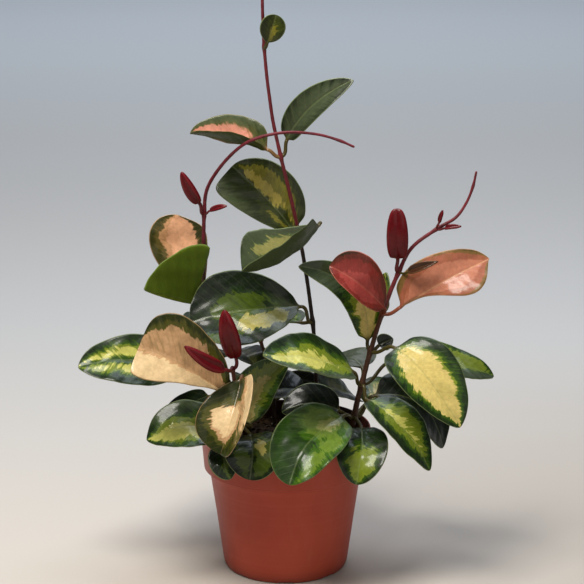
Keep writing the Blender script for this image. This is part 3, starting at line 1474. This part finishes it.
# The tones of each leaf and its marks: zone, along, across, length and width.
LOOKS: dict[str, LeafLook] = {
    "tall_top": LeafLook(Tone.OLIVE, (Mark(LIME, 0.5, -0.15, 0.4, 0.3),)),
    "tall_upper_right": LeafLook(Tone.DARK, (Mark(GREY, 0.5, 0.0, 0.52, 0.95),)),
    "tall_upper_left": LeafLook(
        Tone.ROSE,
        (
            Mark(PALE, 0.66, -0.3, 0.3, 0.3),
            Mark(LIME, 0.62, -0.28, 0.34, 0.36),
            Mark(GREY, 0.6, -0.9, 0.5, 0.3),
        ),
    ),
    "tall_fan": LeafLook(
        Tone.OLIVE,
        (
            Mark(LIME, 0.52, -0.36, 0.46, 0.34),
            Mark(PALE, 0.56, -0.2, 0.36, 0.16),
            Mark(LIME, 0.24, 0.36, 0.12, 0.14),
            Mark(GREY, 0.8, 0.9, 0.3, 0.3),
        ),
    ),
    "tall_roll": LeafLook(
        Tone.DARK,
        (
            Mark(PALE, 0.5, -0.42, 0.3, 0.2),
            Mark(LIME, 0.46, -0.4, 0.38, 0.3),
            Mark(GREY, 0.5, -0.5, 0.6, 0.9),
            Mark(GREY, 0.4, 0.8, 0.6, 0.9),
        ),
    ),
    "tall_broad": LeafLook(
        Tone.DARK,
        (
            Mark(PALE, 0.34, 0.4, 0.26, 0.3),
            Mark(LIME, 0.46, 0.34, 0.3, 0.36),
            Mark(LIME, 0.56, -0.14, 0.3, 0.3),
            Mark(LIME, 0.82, 0.8, 0.08, 0.2),
            Mark(GREY, 0.16, 0.5, 0.2, 0.9),
        ),
    ),
    "tall_middle_back": LeafLook(Tone.GREEN, (Mark(LIME, 0.5, 0.0, 0.36, 0.45),)),
    "tall_low_left": LeafLook(Tone.SHADE, (Mark(LIME, 0.5, 0.2, 0.2, 0.25),)),
    "tall_low_back": LeafLook(
        Tone.SHADE,
        (Mark(LIME, 0.5, 0.1, 0.4, 0.5), Mark(PALE, 0.5, 0.1, 0.3, 0.25)),
    ),
    "right_bud": LeafLook(Tone.CRIMSON, plump=4.0),
    "right_young": LeafLook(Tone.BROWN),
    "right_pink": LeafLook(
        Tone.PINK,
        (Mark(PALE, 0.5, 0.0, 0.44, 0.6), Mark(LIME, 0.5, 0.0, 0.56, 0.95)),
    ),
    "right_red": LeafLook(
        Tone.RED,
        (Mark(PALE, 0.45, 0.15, 0.38, 0.56), Mark(LIME, 0.48, 0.12, 0.53, 0.96)),
    ),
    "right_upright": LeafLook(
        Tone.GREEN,
        (Mark(LIME, 0.5, 0.0, 0.45, 0.7), Mark(PALE, 0.5, 0.1, 0.35, 0.3)),
    ),
    "right_slant": LeafLook(
        Tone.CREAM,
        (
            Mark(PALE, 0.18, 0.0, 0.26, 0.62),
            Mark(LIME, 0.25, 0.0, 0.34, 0.75),
            Mark(GREY, 0.92, 0.0, 0.3, 1.2),
        ),
    ),
    "right_front": LeafLook(
        Tone.GREEN,
        (
            Mark(PALE, 0.6, 0.12, 0.34, 0.36),
            Mark(LIME, 0.5, 0.05, 0.46, 0.56),
            Mark(GREY, 0.3, 0.9, 0.35, 0.2),
        ),
    ),
    "right_broad": LeafLook(
        Tone.CREAM,
        (Mark(PALE, 0.56, -0.02, 0.48, 0.62), Mark(LIME, 0.54, 0.0, 0.5, 0.7)),
    ),
    "right_far": LeafLook(Tone.CREAM, (Mark(LIME, 0.7, 0.3, 0.34, 0.5), Mark(GREY, 0.8, -0.6, 0.3, 0.4))),
    "right_inner": LeafLook(Tone.DARK, (Mark(GREY, 0.5, 0.0, 0.6, 1.2),)),
    "right_small": LeafLook(Tone.DARK),
    "right_low_front": LeafLook(
        Tone.FRESH,
        (
            Mark(LIME, 0.22, -0.1, 0.2, 0.6),
            Mark(LIME, 0.56, 0.6, 0.34, 0.24),
            Mark(PALE, 0.2, 0.05, 0.1, 0.3),
            Mark(GREY, 0.24, -0.5, 0.2, 0.5),
        ),
    ),
    "right_low_round": LeafLook(Tone.GREEN, (Mark(LIME, 0.7, 0.05, 0.28, 0.6),)),
    "right_low_side": LeafLook(
        Tone.GREEN,
        (Mark(LIME, 0.52, 0.08, 0.42, 0.56), Mark(PALE, 0.5, 0.1, 0.22, 0.12)),
    ),
    "right_low_dark": LeafLook(Tone.DARK),
    "right_tip_left": LeafLook(Tone.CRIMSON),
    "right_tip_right": LeafLook(Tone.CRIMSON),
    "right_inner_low": LeafLook(Tone.SHADE, (Mark(LIME, 0.4, 0.3, 0.2, 0.2),)),
    "right_low_back": LeafLook(
        Tone.CREAM,
        (Mark(PALE, 0.5, 0.1, 0.36, 0.4), Mark(LIME, 0.5, 0.1, 0.42, 0.55)),
    ),
    "arch_young": LeafLook(Tone.CRIMSON, plump=2.4),
    "arch_bud": LeafLook(Tone.CRIMSON, plump=1.0),
    "arch_pink": LeafLook(
        Tone.BLUSH,
        (Mark(PALE, 0.66, -0.16, 0.46, 0.5), Mark(LIME, 0.62, 0.02, 0.5, 0.56)),
    ),
    "arch_green": LeafLook(Tone.BRIGHT, (Mark(LIME, 0.6, -0.5, 0.3, 0.3),)),
    "arch_side": LeafLook(
        Tone.GREEN,
        (
            Mark(LIME, 0.6, -0.34, 0.36, 0.22),
            Mark(PALE, 0.6, -0.3, 0.24, 0.1),
            Mark(LIME, 0.6, 0.34, 0.36, 0.22),
            Mark(PALE, 0.5, 0.3, 0.2, 0.12),
        ),
    ),
    "arch_low_back": LeafLook(
        Tone.GREEN,
        (Mark(LIME, 0.5, 0.0, 0.4, 0.5), Mark(PALE, 0.45, 0.1, 0.25, 0.25)),
    ),
    "arch_low_side": LeafLook(Tone.DARK),
    "arch_back": LeafLook(
        Tone.CREAM,
        (Mark(PALE, 0.5, -0.1, 0.38, 0.42), Mark(LIME, 0.5, 0.0, 0.42, 0.6)),
    ),
    "front_peach": LeafLook(
        Tone.PEACH,
        (Mark(PALE, 0.5, 0.62, 0.7, 0.5), Mark(LIME, 0.55, 0.14, 0.68, 0.88)),
    ),
    "front_crimson_left": LeafLook(Tone.CRIMSON, plump=2.6),
    "front_crimson_up": LeafLook(Tone.CRIMSON, plump=4.0),
    "front_left": LeafLook(
        Tone.GREEN,
        (
            Mark(PALE, 0.58, 0.25, 0.42, 0.36),
            Mark(LIME, 0.56, 0.15, 0.44, 0.62),
            Mark(GREY, 0.5, -0.9, 0.4, 0.2),
        ),
    ),
    "front_middle": LeafLook(
        Tone.PEACH,
        (
            Mark(PALE, 0.56, -0.16, 0.2, 0.5),
            Mark(PALE, 0.3, 0.84, 0.4, 0.22),
            Mark(LIME, 0.58, -0.1, 0.24, 0.58),
            Mark(LIME, 0.3, 0.78, 0.42, 0.34),
        ),
    ),
    "front_inner": LeafLook(
        Tone.CREAM,
        (
            Mark(LIME, 0.5, 0.1, 0.6, 0.8),
            Mark(PALE, 0.35, 0.0, 0.35, 0.3),
            Mark(GREY, 0.5, 0.1, 0.5, 0.6),
        ),
    ),
    "front_low": LeafLook(
        Tone.DARK,
        (
            Mark(LIME, 0.52, 0.4, 0.36, 0.42),
            Mark(LIME, 0.62, -0.36, 0.26, 0.34),
            Mark(PALE, 0.4, 0.3, 0.12, 0.18),
        ),
    ),
    "front_low_left": LeafLook(Tone.DARK, (Mark(LIME, 0.6, 0.1, 0.3, 0.35),)),
    "back_low": LeafLook(Tone.SHADE, (Mark(LIME, 0.5, 0.1, 0.3, 0.3),)),
    "back_left": LeafLook(
        Tone.SHADE,
        (Mark(PALE, 0.5, 0.0, 0.36, 0.4), Mark(LIME, 0.5, 0.0, 0.42, 0.58)),
    ),
    "back_right": LeafLook(
        Tone.GREEN,
        (Mark(PALE, 0.55, 0.1, 0.3, 0.3), Mark(LIME, 0.5, 0.0, 0.42, 0.56)),
    ),
    "back_back": LeafLook(Tone.GREEN, (Mark(LIME, 0.5, 0.0, 0.4, 0.5),)),
    "back_top": LeafLook(Tone.CREAM, (Mark(PALE, 0.5, 0.0, 0.42, 0.55), Mark(LIME, 0.5, 0.0, 0.46, 0.7))),
    "back_tip": LeafLook(Tone.CRIMSON, plump=2.0),
}

# Each stem's bark: the tone low down, the tone higher up, and the heights between which it changes.
BARKS: dict[str, BarkFinish] = {
    "tall": BarkFinish((26, 16, 12), (112, 34, 42), 225.0, 262.0),
    "right": BarkFinish((74, 46, 30), (116, 36, 44), 165.0, 215.0),
    "arch": BarkFinish((58, 48, 28), (110, 30, 42), 190.0, 250.0),
    "front": BarkFinish((70, 50, 32), (112, 58, 42), 110.0, 150.0),
    "back": BarkFinish((52, 38, 26), (96, 50, 36), 110.0, 160.0),
}


@dataclass(frozen=True)
class PlasticFinish:
    """Satin moulded plastic with faint rings, dust, scuffs and a dirty foot.

    rings and scuffs are the scales of their noises along x, y and z, to the metre.
    """

    colour: Colour = (170, 70, 48)
    light: Colour = (180, 84, 64)
    dark: Colour = (158, 60, 42)
    scuff: Colour = (186, 130, 108)
    dirt: Colour = (92, 44, 34)
    rings: Point = (3.0, 3.0, 260.0)
    scuffs: Point = (60.0, 60.0, 14.0)

    def material(self, name: str) -> bpy.types.Material:
        """Makes the plastic.

        Args:
            name: the material's name.

        Returns:
            The material.
        """
        g = Graph(name)
        place = g.place()
        parts = g.split(place)
        cloud = g.noise(place, 14.0, 3.0)
        tone = g.mix(g.ramp(cloud, 0.3, 0.7), srgb(self.dark), srgb(self.colour))
        rings = g.noise(g.stretch(parts, self.rings), 1.0, 2.0)
        tone = g.mix(g.ramp(rings, 0.5, 0.7, 0.0, 0.22), tone, srgb(self.light))
        scuff = g.noise(g.stretch(parts, self.scuffs), 1.0, 4.0)
        tone = g.mix(g.ramp(scuff, 0.64, 0.8, 0.0, 0.1), tone, srgb(self.scuff))
        tone = g.mix(g.ramp(parts[2], 0.0, 0.012, 0.35, 0.0), tone, srgb(self.dirt))
        height = g.math("ADD", g.noise(place, 900.0, 2.0), g.math("MULTIPLY", rings, 0.6))
        roughness = g.ramp(scuff, 0.35, 0.7, 0.42, 0.56)
        return g.finish(tone, roughness, g.bump(height, 0.16, 0.0002), Specular_IOR_Level=0.28)


@dataclass(frozen=True)
class SoilFinish:
    """Moist peat, bark or pale grains, from a dark tone to a light one with a stain."""

    dark: Colour = (26, 18, 13)
    light: Colour = (74, 54, 38)
    stain: Colour = (98, 72, 48)

    def material(self, name: str) -> bpy.types.Material:
        """Makes the soil's material.

        Args:
            name: the material's name.

        Returns:
            The material.
        """
        g = Graph(name)
        place = g.place()
        grain = g.noise(place, 420.0, 5.0, 0.6)
        cloud = g.noise(place, 90.0, 3.0)
        tone = g.mix(g.ramp(grain, 0.35, 0.68), srgb(self.dark), srgb(self.light))
        tone = g.mix(g.ramp(cloud, 0.5, 0.7, 0.0, 0.3), tone, srgb(self.stain))
        return g.finish(tone, 0.92, g.bump(grain, 0.9, 0.0012), Specular_IOR_Level=0.25)


@dataclass
class Pot:
    """The round tapered pot, in millimetres.

    collar_z is the height of the step under the collar, and pad and channel are the radius of the
    raised pad under the floor and the depth of the channel round it. notch is the width and the
    height of the notches in the foot. sharp is the angle in degrees from which an edge is sharp.
    """

    height: float = 102.0
    wall: float = 1.6
    rim: float = 60.0
    collar_z: float = 73.0
    collar: float = 57.6
    body_top: float = 53.8
    body_bottom: float = 44.4
    foot: float = 41.0
    foot_round: float = 6.0
    foot_inner: float = 36.0
    pad: float = 22.0
    channel: float = 3.5
    drains: int = 8
    drain_radius: float = 4.0
    drain_circle: float = 29.5
    drain_depth: float = 8.0
    drain_sides: int = 32
    notch: Pair = (10.0, 3.0)
    notch_depth: float = 16.0
    sides: int = 160
    sharp: float = 38.0
    outer: PlasticFinish = PlasticFinish()
    inner: PlasticFinish = PlasticFinish((96, 38, 26), (104, 46, 32), (60, 34, 26))

    def outside(self) -> list[Pair]:
        """The section's outer line, whose small steps of under 3 mm round its edges.

        Returns:
            Radii and heights, from the middle of the base up to the rim.
        """
        pad, inner, foot, channel = self.pad, self.foot_inner, self.foot, self.channel
        bottom, top, collar, rim = self.body_bottom, self.body_top, self.collar, self.rim
        step, height = self.collar_z, self.height
        return [
            (0, 0), (pad - 0.6, 0), (pad + 0.4, 0.5), (pad + 2.2, channel - 0.5), (pad + 3, channel),
            (inner - 2, channel), (inner - 1.3, channel - 0.5), (inner - 0.3, 0.4), (inner + 0.3, 0),
            (foot, 0), (foot + 1.6, 0.5), (bottom - 0.9, 2.2), (bottom - 0.2, 4.2),
            (bottom + 0.05, self.foot_round), (bottom + 4.7, 40),
            (top - 0.1, step - 1.4), (top + 0.3, step - 0.7), (top + 1.0, step - 0.3),
            (collar - 0.7, step), (collar - 0.15, step + 0.4), (collar, step + 1.1),
            (rim - 0.4, height - 3.4), (rim - 0.1, height - 2.8), (rim, height - 1.2),
            (rim - 0.15, height - 0.4), (rim - 0.6, height),
        ]

    def inside(self) -> list[Pair]:
        """The section's inner line, a wall's thickness inside the outer one.

        Returns:
            Radii and heights, from the rim down to the middle of the floor.
        """
        w, step, height = self.wall, self.collar_z, self.height
        rim, collar, top, bottom = self.rim - w, self.collar - w, self.body_top - w, self.body_bottom - w
        return [
            (rim + 0.4, height), (rim, height - 0.4), (rim - 0.2, height - 1.5),
            (collar + 0.1, step + w + 1.2), (collar - 0.6, step + w + 0.2),
            (top + 0.4, step + w), (top - 0.1, step + w - 0.5), (top - 0.2, step - 1),
            (bottom, self.foot_round + 0.4), (bottom - 0.8, 2.9),
            (self.foot - 1, w + 0.2), (self.foot_inner + 1, w + 0.2),
            (self.foot_inner - 0.6, self.channel + w), (self.pad + 1.6, self.channel + w),
            (self.pad - 0.8, w + 0.2), (0, w + 0.2),
        ]

    def drain(self, turn: float) -> bmesh.types.BMesh:
        """A round bar that cuts a drain hole.

        Args:
            turn: its angle round the pot.

        Returns:
            The bar.
        """
        bar = bmesh.new()
        size = {"radius1": self.drain_radius, "radius2": self.drain_radius, "depth": self.drain_depth}
        bmesh.ops.create_cone(bar, cap_ends=True, segments=self.drain_sides, **size)
        out = Vector((math.sin(turn), -math.cos(turn), 0)) * self.drain_circle
        bmesh.ops.translate(bar, vec=out + Vector((0, 0, self.channel)), verts=bar.verts)
        return bar

    def gap(self, turn: float) -> bmesh.types.BMesh:
        """A block that cuts a notch in the foot.

        Args:
            turn: its angle round the pot.

        Returns:
            The block.
        """
        block = bmesh.new()
        bmesh.ops.create_cube(block, size=1.0)
        wide, high = self.notch
        middle = (self.foot_inner + self.foot) / 2 + 3
        for v in block.verts:
            x, y, z = v.co.x * wide, v.co.y * self.notch_depth - middle, v.co.z * 2 * high - high + 1.2
            v.co = (x * math.cos(turn) - y * math.sin(turn), x * math.sin(turn) + y * math.cos(turn), z)
        return block

    def cutters(self) -> list[bpy.types.Object]:
        """The drain holes and the notches under the foot.

        Returns:
            Solids to take away.
        """
        found = []
        for i in range(self.drains):
            turn = math.tau * i / self.drains
            found.append(solid(self.drain(turn + math.pi / self.drains), f"drain_{i}"))
            found.append(solid(self.gap(turn), f"notch_{i}"))
        return found

    def paint(self, pot: bpy.types.Object) -> None:
        """Gives the pot its plastic, which is darker on the wall's inner side.

        Args:
            pot: the finished shell.
        """
        pot.data.materials.clear()
        pot.data.materials.append(self.outer.material("terracotta_plastic"))
        pot.data.materials.append(self.inner.material("pot_inside"))
        half_wall = self.wall * MM / 2
        for face in pot.data.polygons:
            middle = face.center
            reach = math.hypot(middle.x, middle.y)
            inward = face.normal.x * middle.x + face.normal.y * middle.y < 0
            above = middle.z > self.foot_round * MM
            face.material_index = int(inward and above and reach < self.rim * MM - half_wall)

    def build(self) -> bpy.types.Object:
        """Makes the pot's piece.

        Returns:
            The pot's object, which rides on the body and stands for the plain pot.
        """
        pot = solid(turned(self.outside() + self.inside(), self.sides), "pot_shell")
        for cutter in self.cutters():
            cut = pot.modifiers.new(cutter.name, "BOOLEAN")
            cut.operation, cut.object, cut.solver = "DIFFERENCE", cutter, "MANIFOLD"
            with bpy.context.temp_override(object=pot, active_object=pot):
                bpy.ops.object.modifier_apply(modifier=cut.name)
            bpy.data.objects.remove(cutter)
        pot.data.shade_smooth()
        pot.data.set_sharp_from_angle(angle=math.radians(self.sharp))
        self.paint(pot)
        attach(pot, BODY)
        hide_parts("pot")
        return pot


@dataclass(frozen=True)
class Litter:
    """Loose lumps on the soil: how many, their smallest and largest radius, seed and finish."""

    name: str
    count: int
    size: Pair
    seed: int
    material: str
    finish: SoilFinish


@dataclass
class Soil:
    """Soil that fills the pot, with crumbs and pale grains on it, in millimetres."""

    edge_z: float = 90.4
    middle_z: float = 92.6
    edge: float = 56.2
    neck: float = 51.6
    neck_z: float = 72.0
    ledge: float = 55.4
    ledge_z: float = 75.0
    foot: float = 42.2
    bottom_z: float = 5.7
    rings: int = 40
    sides: int = 120
    finish: SoilFinish = SoilFinish()
    litter: tuple[Litter, ...] = (
        Litter("soil_crumbs", 620, (0.7, 2.1), 7, "soil_bark", SoilFinish()),
        Litter(
            "soil_grains", 46, (0.9, 1.7), 11, "soil_perlite", SoilFinish((176, 172, 160), (232, 230, 222))
        ),
    )

    def height(self, x: float, y: float) -> float:
        """The uneven surface, which is calm towards the wall.

        Args:
            x: the place from left to right.
            y: the place from front to back.

        Returns:
            Its height there.
        """
        far = min(math.hypot(x, y) / self.edge, 1.0)
        plain = self.middle_z + (self.edge_z - self.middle_z) * far * far
        bumps = 0.9 * math.sin(x * 0.21 + 1) * math.cos(y * 0.17) + 0.5 * math.sin(x * 0.63 + y * 0.4)
        fine = 0.35 * math.sin(x * 1.7) * math.sin(y * 1.9 + 0.6)
        return plain + bumps * (1 - far**6) + fine * (1 - far**8)

    def body(self) -> bpy.types.Object:
        """The filled volume.

        Returns:
            The soil's object, turned from the floor up along the wall and in over the surface.
        """
        section = [
            (0, self.bottom_z), (self.foot, self.bottom_z), (self.foot + 0.3, self.bottom_z + 1.3),
            (self.neck, self.neck_z), (self.neck, self.ledge_z), (self.ledge, self.ledge_z),
        ]
        section += [(self.edge * i / self.rings, self.height) for i in range(self.rings, -1, -1)]
        piece = solid(turned(section, self.sides), "soil_body")
        piece.data.shade_smooth()
        return piece

    def scatter(self, litter: Litter) -> bpy.types.Object:
        """Uneven lumps sunk into the surface.

        Args:
            litter: what they are.

        Returns:
            One object with all the lumps in it.
        """
        rng = np.random.default_rng(litter.seed)
        work = bmesh.new()
        for _ in range(litter.count):
            far, turn = self.edge * 0.97 * math.sqrt(rng.random()), rng.uniform(0, math.tau)
            x, y = far * math.cos(turn), far * math.sin(turn)
            radius = rng.uniform(*litter.size)
            made = bmesh.ops.create_icosphere(work, subdivisions=1, radius=radius)["verts"]
            squash = rng.uniform(0.45, 1.0, 3)
            spin = rng.uniform(0, math.pi)
            for v in made:
                p = v.co * (1 + rng.uniform(-0.18, 0.18))
                p = Vector((p.x * squash[0], p.y * squash[1], p.z * squash[2] * 0.8))
                v.co = (
                    x + p.x * math.cos(spin) - p.y * math.sin(spin),
                    y + p.x * math.sin(spin) + p.y * math.cos(spin),
                    self.height(x, y) + radius * 0.25 + p.z,
                )
        return solid(work, litter.name)

    def build(self) -> list[bpy.types.Object]:
        """Makes the soil body, which stands for the plain soil, and what lies on it.

        Returns:
            The pieces, which ride on the body.
        """
        body = self.body()
        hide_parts("soil")
        body.data.materials.append(self.finish.material("soil_peat"))
        pieces = [body]
        for litter in self.litter:
            piece = self.scatter(litter)
            piece.data.materials.append(litter.finish.material(litter.material))
            pieces.append(piece)
        for piece in pieces:
            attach(piece, BODY)
        return pieces


@dataclass(frozen=True)
class Lamp:
    """A square soft light: its place and aim in metres, side in metres, watts and colour."""

    name: str
    place: Point
    aim: Point
    size: float
    power: float
    colour: Colour

    def build(self) -> bpy.types.Object:
        """Makes the light.

        Returns:
            The light's object.
        """
        data = bpy.data.lights.new(self.name, "AREA")
        data.size, data.energy, data.color = self.size, self.power, srgb(self.colour)[:3]
        lamp = linked(self.name, data)
        lamp.location = self.place
        lamp.rotation_euler = (Vector(self.aim) - Vector(self.place)).to_track_quat("-Z", "Y").to_euler()
        return lamp


PLANT_MIDDLE = (0.0, 0.0, 0.18)
FLOOR_BEHIND = (0.0, 2.9, 0.0)


@dataclass
class Studio:
    """Camera, pale floor and soft light.

    target and distance are in millimetres, elevation in degrees, lens and sensor in millimetres of
    film. The floor is near, middle or far in colour as it goes back, with side on the right, and
    reach is half its side in metres.
    """

    target: Point = (4.6, 0.0, 199.5)
    distance: float = 1458.5
    elevation: float = 15.0
    lens: float = 129.72
    sensor: float = 36.0
    near: Colour = (190, 182, 172)
    middle: Colour = (182, 182, 181)
    far: Colour = (210, 219, 226)
    side: Colour = (150, 142, 132)
    reach: float = 14.0
    air: Colour = (214, 220, 226)
    air_strength: float = 0.2
    lamps: tuple[Lamp, ...] = (
        Lamp("key", (-0.35, -0.45, 1.45), PLANT_MIDDLE, 0.55, 24.0, (255, 250, 242)),
        Lamp("top", (0.3, 0.5, 1.6), PLANT_MIDDLE, 1.0, 16.0, (232, 241, 255)),
        Lamp("fill", (0.5, -1.6, 0.9), PLANT_MIDDLE, 1.6, 6.0, (255, 248, 240)),
        Lamp("back", (0.0, 2.7, 2.2), FLOOR_BEHIND, 2.4, 31.0, (246, 248, 255)),
    )

    def camera(self) -> bpy.types.Object:
        """Makes the camera at the picture's viewing angle.

        Returns:
            The camera, which the scene uses.
        """
        data = bpy.data.cameras.new("camera")
        data.lens, data.sensor_width = self.lens, self.sensor
        data.clip_start, data.clip_end = 0.01, 50.0
        camera = linked("camera", data)
        angle = math.radians(self.elevation)
        back = Vector((0.0, -math.cos(angle), math.sin(angle)))
        camera.location = (Vector(self.target) + back * self.distance) * MM
        camera.rotation_euler = (-back).to_track_quat("-Z", "Y").to_euler()
        bpy.context.scene.camera = camera
        return camera

    def paper(self) -> bpy.types.Material:
        """Makes the floor's paper, warm in front of the plant and cool behind it.

        Returns:
            The material.
        """
        g = Graph("studio_paper")
        place = g.place()
        across, depth, _ = g.split(place)
        tone = g.mix(g.ramp(depth, -0.2, 0.75), srgb(self.near), srgb(self.middle))
        tone = g.mix(g.ramp(depth, 1.0, 3.0), tone, srgb(self.far))
        right = g.math("MULTIPLY", g.ramp(across, -0.1, 0.25), g.ramp(depth, 0.1, 0.6, 0.45, 0.0))
        tone = g.mix(right, tone, srgb(self.side))
        grain = g.noise(place, 300.0, 2.0)
        return g.finish(tone, 0.9, g.bump(grain, 0.05, 0.0002), Specular_IOR_Level=0.15)

    def floor(self) -> bpy.types.Object:
        """Makes the flat floor.

        Returns:
            The floor, which isn't part of the object.
        """
        mesh = bpy.data.meshes.new("studio_floor")
        points = [(x, y, 0.0) for y in (-self.reach, self.reach) for x in (-self.reach, self.reach)]
        mesh.from_pydata(points, [], [(0, 1, 3, 2)])
        mesh.materials.append(self.paper())
        floor = linked("studio_floor", mesh)
        return floor

    def build(self) -> None:
        """Makes the whole studio."""
        self.camera()
        self.floor()
        for lamp in self.lamps:
            lamp.build()
        world = bpy.data.worlds.new("studio_air")
        world.use_nodes = True
        background = world.node_tree.nodes["Background"]
        background.inputs["Color"].default_value = srgb(self.air)
        background.inputs["Strength"].default_value = self.air_strength
        bpy.context.scene.world = world
        bpy.context.scene.view_settings.view_transform = "Standard"


def main() -> None:
    """Builds the studio and the plant."""
    logging.basicConfig(level=logging.INFO)
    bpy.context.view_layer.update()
    Studio().build()
    LOG.info("studio")
    LOG.info("piece %s", Pot().build().name)
    for piece in Soil().build():
        LOG.info("piece %s", piece.name)
    stems = {name: Stem(name, plan) for name, plan in STEMS.items()}
    for name, stem in stems.items():
        LOG.info("piece %s", stem.build(BARKS[name].material(f"bark_{name}")).name)
    finishes = {
        tone: [tone.value.material(f"leaf_{tone.name.lower()}", side) for side in Side] for tone in Tone
    }
    for name, plan in LEAVES.items():
        look = LOOKS[name]
        leaf = Leaf(name, plan, look, stems[plan.stem])
        LOG.info("piece %s", leaf.build(finishes[look.tone]).name)


if __name__ == "__main__":
    main()
